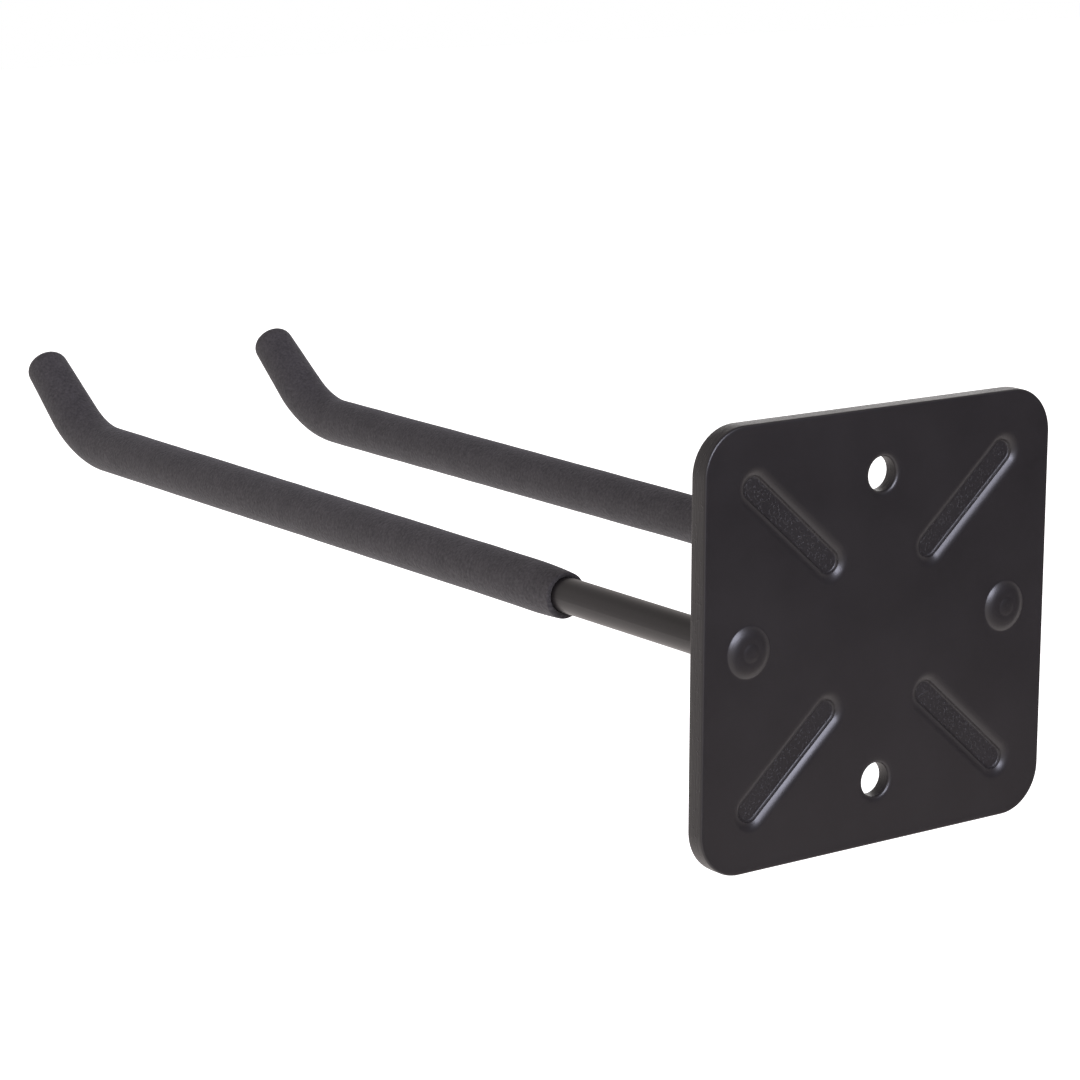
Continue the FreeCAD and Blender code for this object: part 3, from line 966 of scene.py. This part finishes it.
@dataclass
class WeldBead:
    """A rippled ring of weld between the plate's arm side and a bar."""

    side: Side
    bar: float = 5.0 * MM
    leg: float = 3.0 * MM
    face: float = -6.0 * MM
    ripples: int = 26
    ripple_height: float = 0.16 * MM
    ripple_lag: float = 0.9
    bulge: float = 0.35 * MM
    bulge_share: float = 0.7
    unevenness: float = 0.12 * MM
    around: int = 208
    across: int = 10

    def spot(self, line: ArmLine, angle: float, radius: float, out: float) -> Vector:
        """A point round the bar, at an angle from straight up."""
        return Vector((line.across + radius * math.sin(angle), out, radius * math.cos(angle)))

    def build(self, line: ArmLine, material: bpy.types.Material) -> bpy.types.Object:
        """Build the bead with its ripples; its last ring is the corner between the plate and the bar.

        Args:
            line: the arm's middle line.
            material: the coat over the weld.

        Returns:
            The bead, which replaces its CAD ring.
        """
        points = []
        for row in range(self.across + 1):
            share = row / self.across
            swell = math.sin(math.pi * share)
            for step in range(self.around):
                angle = 2 * math.pi * step / self.around
                ripple = abs(math.sin(self.ripples * angle / 2 + self.ripple_lag * swell))
                circle = Vector((math.cos(angle), math.sin(angle), WELD_NOISE_ROW))
                rise = self.bulge + ripple * self.ripple_height + self.unevenness * noise.noise(circle)
                proud = self.bulge_share * swell * rise
                radius = self.bar + self.leg * (1 - share) + proud
                out = self.face - self.leg * share - proud
                points.append(self.spot(line, angle, radius, out))
        for step in range(self.around):
            points.append(self.spot(line, 2 * math.pi * step / self.around, self.bar, self.face))
        faces = ring_faces(self.across + 2, self.around, joined=True)
        bead = mesh_piece(self.side.word + "_weld_bead", points, faces, material)
        close_and_turn(bead)
        bead.data.set_sharp_from_angle(angle=SHARP_TURN)
        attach(bead, BODY)
        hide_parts(self.side.word + "_weld")
        return bead


# ---------------------------------------------------------------------------------------------
# Studio
# ---------------------------------------------------------------------------------------------
@dataclass
class SoftBox:
    """A large soft lamp that looks at the rack."""

    name: str
    place: tuple[float, float, float]
    width: float
    height: float
    watts: float
    colour: str = "ffffff"
    target: tuple[float, float, float] = (0.0, -0.15, 0.0)
    only_for: str = ""

    def build(self) -> bpy.types.Object:
        """Make the lamp and aim it; it lights every piece, or only the one that only_for names.

        Returns:
            The lamp.
        """
        lamp = bpy.data.lights.new(self.name, "AREA")
        lamp.shape = "RECTANGLE"
        lamp.size = self.width
        lamp.size_y = self.height
        lamp.energy = self.watts
        lamp.color = linear(self.colour)[:3]
        box = bpy.data.objects.new(self.name, lamp)
        box.location = self.place
        box.rotation_euler = (Vector(self.target) - box.location).to_track_quat("-Z", "Y").to_euler()
        box.visible_camera = False
        if self.only_for:
            lit = bpy.data.collections.new(self.name + "_lights")
            lit.objects.link(bpy.data.objects[self.only_for])
            box.light_linking.receiver_collection = lit
        bpy.context.scene.collection.objects.link(box)
        return box


@dataclass
class Studio:
    """A light table, a pale sky with one dark card, and soft boxes."""

    floor_height: float = -0.40
    floor_reach: float = 6.0
    sky_colour: str = "fdf5f2"
    sky_above: float = 0.76
    sky_below: float = 1.25
    sky_fade: tuple[float, float] = (0.10, -0.55)
    roof_share: float = 0.35
    roof_fade: tuple[float, float] = (0.35, 0.85)
    card_way: tuple[float, float, float] = (-0.594, 0.772, -0.14)
    card_reach: float = math.radians(50)
    card_core: float = math.radians(30)
    card_share: float = 0.05
    lamps: list[SoftBox] = field(default_factory=lambda: [
        SoftBox("key_box", (0.25, 1.60, 0.80), 1.1, 0.9, 46.0, "e9eaff"),
        SoftBox("rim_box", (-1.5, -1.9, 0.62), 1.8, 0.8, 7.0, only_for="pressed_wall_plate"),
        SoftBox("low_box", (-0.20, 0.27, -0.25), 0.3, 0.3, 0.10, "fff0ea", target=(0.0, 0.0, -0.03)),
    ])

    def table(self) -> bpy.types.Object:
        """Lay the table top, a wide flat sheet below the rack.

        Returns:
            The table top.
        """
        points = [Vector((sx * self.floor_reach, sy * self.floor_reach, self.floor_height))
                  for sx, sy in ((-1, -1), (1, -1), (1, 1), (-1, 1))]
        top = mesh_piece("light_table", points, [(0, 1, 2, 3)], LightTable().material())
        top.visible_glossy = False
        return top

    def light(self) -> None:
        """Set the sky and hang the lamps.

        The sky is white to the eye. To surfaces it shows a soft dark card low in front of the plate, which
        keeps the satin face black while its pressed edges catch the rest of the sky.
        """
        world = bpy.data.worlds.new("studio_sky")
        world.use_nodes = True
        tree = world.node_tree
        tree.nodes.clear()
        way = add_node(tree, "TexCoord").outputs["Generated"]
        facing = add_node(tree, "VectorMath", {
            0: way, 1: Vector(self.card_way).normalized()}, operation="DOT_PRODUCT")
        bare = add_node(tree, "MapRange", {
            0: facing.outputs["Value"], 1: math.cos(self.card_core), 2: math.cos(self.card_reach),
            3: self.card_share, 4: 1.0}, interpolation_type="SMOOTHSTEP")
        height = add_node(tree, "SeparateXYZ", {"Vector": way}).outputs["Z"]
        glow = add_node(tree, "MapRange", {
            0: height, 1: self.sky_fade[0], 2: self.sky_fade[1],
            3: self.sky_above, 4: self.sky_below}, interpolation_type="SMOOTHSTEP")
        roof = add_node(tree, "MapRange", {
            0: height, 1: self.roof_fade[0], 2: self.roof_fade[1],
            3: 1.0, 4: self.roof_share}, interpolation_type="SMOOTHSTEP")
        above = add_node(tree, "Math", {0: roof.outputs[0], 1: glow.outputs[0]}, operation="MULTIPLY")
        share = add_node(tree, "Math", {0: bare.outputs[0], 1: above.outputs[0]}, operation="MULTIPLY")
        seen = add_node(tree, "LightPath").outputs["Is Camera Ray"]
        strength = add_node(tree, "Mix", {"Factor": seen, "A": share.outputs[0], "B": 1.0})
        colour = add_node(tree, "Mix", {
            "Factor": seen, "A": linear(self.sky_colour), "B": linear("ffffff")}, data_type="RGBA")
        sky = add_node(tree, "Background", {
            "Color": colour.outputs["Result"], "Strength": strength.outputs["Result"]})
        output = add_node(tree, "OutputWorld")
        tree.links.new(sky.outputs[0], output.inputs["Surface"])
        bpy.context.scene.world = world
        for lamp in self.lamps:
            lamp.build()


@dataclass
class CameraStand:
    """The camera: a long lens that looks down a little on the plate's wall face."""

    place: tuple[float, float, float] = (0.5961, 0.6745, 0.2214)
    forward: tuple[float, float, float] = (-0.59363, -0.77177, -0.22798)
    top: tuple[float, float, float] = (-0.13207, -0.18602, 0.97363)
    lens_mm: float = 115.67
    shift: Flat = (-0.1021, 0.0426)
    near: float = 0.01
    far: float = 50.0

    def build(self) -> bpy.types.Object:
        """Make the camera and look through it.

        Returns:
            The camera.
        """
        data = bpy.data.cameras.new("studio_camera")
        data.lens = self.lens_mm
        data.shift_x, data.shift_y = self.shift
        data.clip_start = self.near
        data.clip_end = self.far
        camera = bpy.data.objects.new("studio_camera", data)
        forward = Vector(self.forward).normalized()
        right = forward.cross(Vector(self.top)).normalized()
        turn = Matrix((right, right.cross(forward), -forward)).transposed()
        camera.matrix_world = Matrix.Translation(self.place) @ turn.to_4x4()
        bpy.context.scene.collection.objects.link(camera)
        bpy.context.scene.camera = camera
        return camera


def main() -> None:
    """Build and dress every piece, then the studio."""
    logging.basicConfig(level=logging.INFO, format="%(name)s: %(message)s")
    LOG.info("built %s", WallPlate().build().name)
    foam = FoamRubber("black_nitrile_foam").material()
    weld_coat = PowderCoat("black_powder_coated_weld", peel_mm=1.2).material()
    for side in Side:
        line = ArmLine(across=side.value * ARM_ACROSS)
        LOG.info("dressed %s", SteelArm(side).dress().name)
        LOG.info("built %s", FoamSleeve(side).build(line, foam).name)
        LOG.info("built %s", WeldBead(side).build(line, weld_coat).name)
    studio = Studio()
    studio.table()
    studio.light()
    CameraStand().build()
    bpy.context.scene.view_settings.view_transform = "Standard"


if __name__ == "__main__":
    main()
